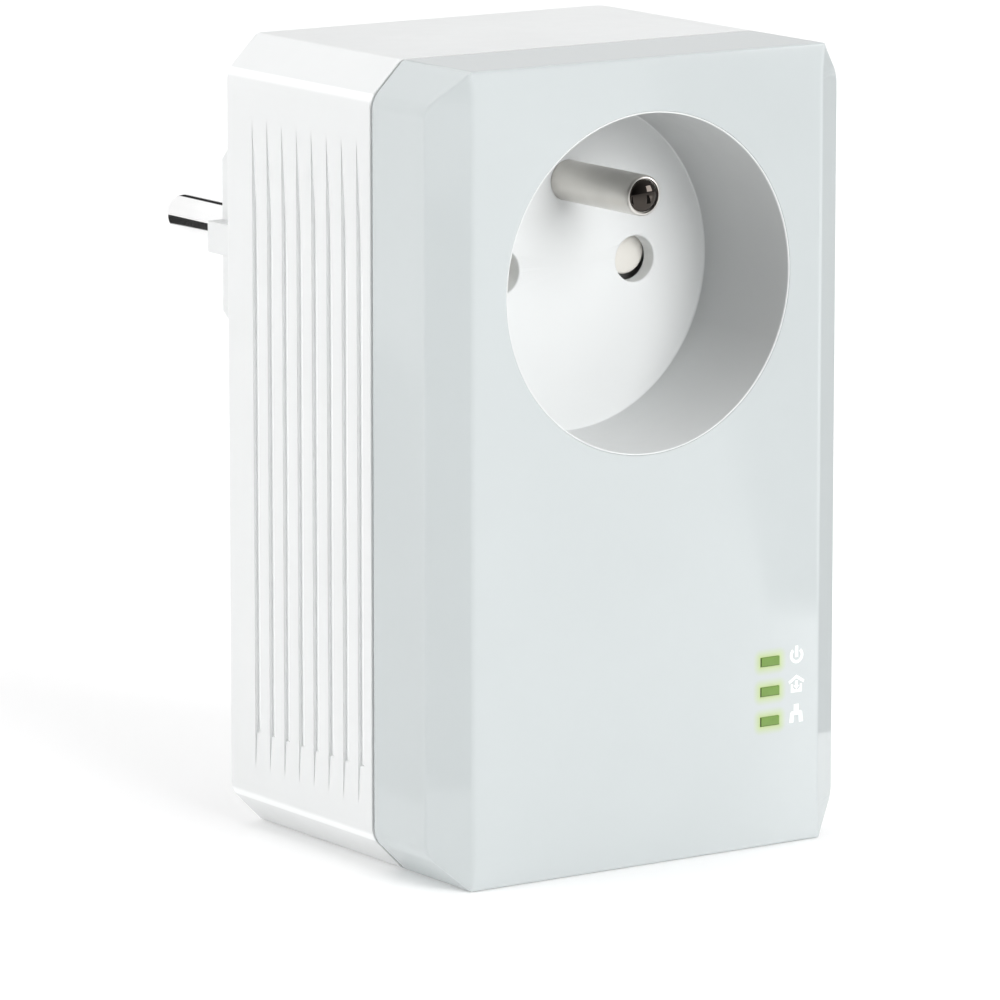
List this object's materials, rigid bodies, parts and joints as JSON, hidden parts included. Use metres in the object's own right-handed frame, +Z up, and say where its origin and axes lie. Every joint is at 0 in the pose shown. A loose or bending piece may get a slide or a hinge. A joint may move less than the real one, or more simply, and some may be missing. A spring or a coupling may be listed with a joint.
{
  "type": "powerline adapter",
  "caption": "Plug-in powerline network adapter with a pass-through earthed mains socket, indicator lights, side louvres and a network jack underneath.",
  "frame": {"origin": "middle of the bounding box at its base, which is the flat underside of the case", "axes": "+Z up, +X to the right seen from the socket side, +Y towards the wall that the plug goes into"},
  "size_m": [0.0576, 0.087, 0.094],
  "materials": {
    "cover_gloss": "high-gloss pale blue-grey moulding",
    "housing_matte": "fine matte white moulding",
    "plug_matte": "matte white moulding",
    "well_satin": "satin white moulding",
    "shutter_cream": "satin cream moulding",
    "nickel_satin": "satin nickel plate",
    "pin_bright": "bright nickel plate",
    "brass_strip": "stamped brass",
    "zinc_steel": "zinc-plated steel",
    "holder_white": "natural moulding",
    "board_green": "solder-masked laminate",
    "lamp_green": "green lamp",
    "pipe_green": "clear light pipe lit green",
    "black_moulding": "black moulding",
    "plunger_cream": "natural moulding",
    "ferrite": "sintered ferrite",
    "yellow_tape": "yellow film",
    "copper_wire": "enamelled copper",
    "aluminium_can": "drawn can",
    "blue_epoxy": "dipped epoxy",
    "fuse_glass": "glass tube",
    "heat_black": "black anodised",
    "film_sheet": "insulating film",
    "wire_brown": "brown insulation",
    "wire_blue": "blue insulation",
    "label_paper": "blank printed film"
  },
  "bodies": {
    "case": {"front_cover": "cover_gloss", "rear_housing": "housing_matte", "socket_well": "well_satin", "socket_earth_pin": "nickel_satin", "shutter_spring": "zinc_steel", "contact_holder": "holder_white", "line_contact": "brass_strip", "neutral_contact": "brass_strip", "line_busbar": "brass_strip", "neutral_busbar": "brass_strip", "earth_strap": "zinc_steel", "plug_body": "plug_matte", "line_plug_pin": "pin_bright", "neutral_plug_pin": "pin_bright", "upper_earth_clip": "nickel_satin", "lower_earth_clip": "nickel_satin", "plug_earth_sleeve": "brass_strip", "main_board": "board_green", "led_power": "lamp_green", "led_home": "lamp_green", "led_network": "lamp_green", "light_pipe_power": "pipe_green", "light_pipe_home": "pipe_green", "light_pipe_network": "pipe_green", "ethernet_jack": "black_moulding", "jack_contacts": "brass_strip", "tact_switch_body": "black_moulding", "transformer_core": "ferrite", "transformer_winding": "yellow_tape", "choke_core": "ferrite", "choke_winding": "copper_wire", "bulk_capacitor": "aluminium_can", "x2_capacitor": "yellow_tape", "bridge_rectifier": "black_moulding", "varistor": "blue_epoxy", "y_capacitor": "blue_epoxy", "fuse": "fuse_glass", "output_capacitor": "aluminium_can", "powerline_chip": "black_moulding", "memory_chip": "black_moulding", "coupling_transformer": "ferrite", "ethernet_magnetics": "black_moulding", "crystal": "zinc_steel", "heat_sink": "heat_black", "insulating_sheet": "film_sheet", "line_lead": "wire_brown", "neutral_lead": "wire_blue", "rating_label": "label_paper", "housing_screw_1": "zinc_steel", "housing_screw_2": "zinc_steel", "housing_screw_3": "zinc_steel", "housing_screw_4": "zinc_steel"},
    "shutter": {"socket_shutter": "shutter_cream"},
    "button": {"pair_button": "housing_matte"},
    "plunger": {"tact_switch_plunger": "plunger_cream"}
  },
  "joints": [
    {"name": "shutter_turn", "type": "hinge", "parent": "case", "child": "shutter", "pos_m": [0, -0.0241, 0.068], "axis": [0, 1, 0], "range_deg": [0, 38], "stiffness_Nm_per_rad": 0.002, "springref_deg": -20.05},
    {"name": "button_press", "type": "slide", "parent": "case", "child": "button", "axis": [0, 0, 1], "range_m": [0, 0.0006], "stiffness_N_per_m": 300, "springref_m": -0.002},
    {"name": "plunger_press", "type": "slide", "parent": "case", "child": "plunger", "axis": [0, 0, 1], "range_m": [0, 0.0006]}
  ],
  "couplings": [
    {"joint": "plunger_press", "follows": "button_press", "ratio": 1}
  ]
}
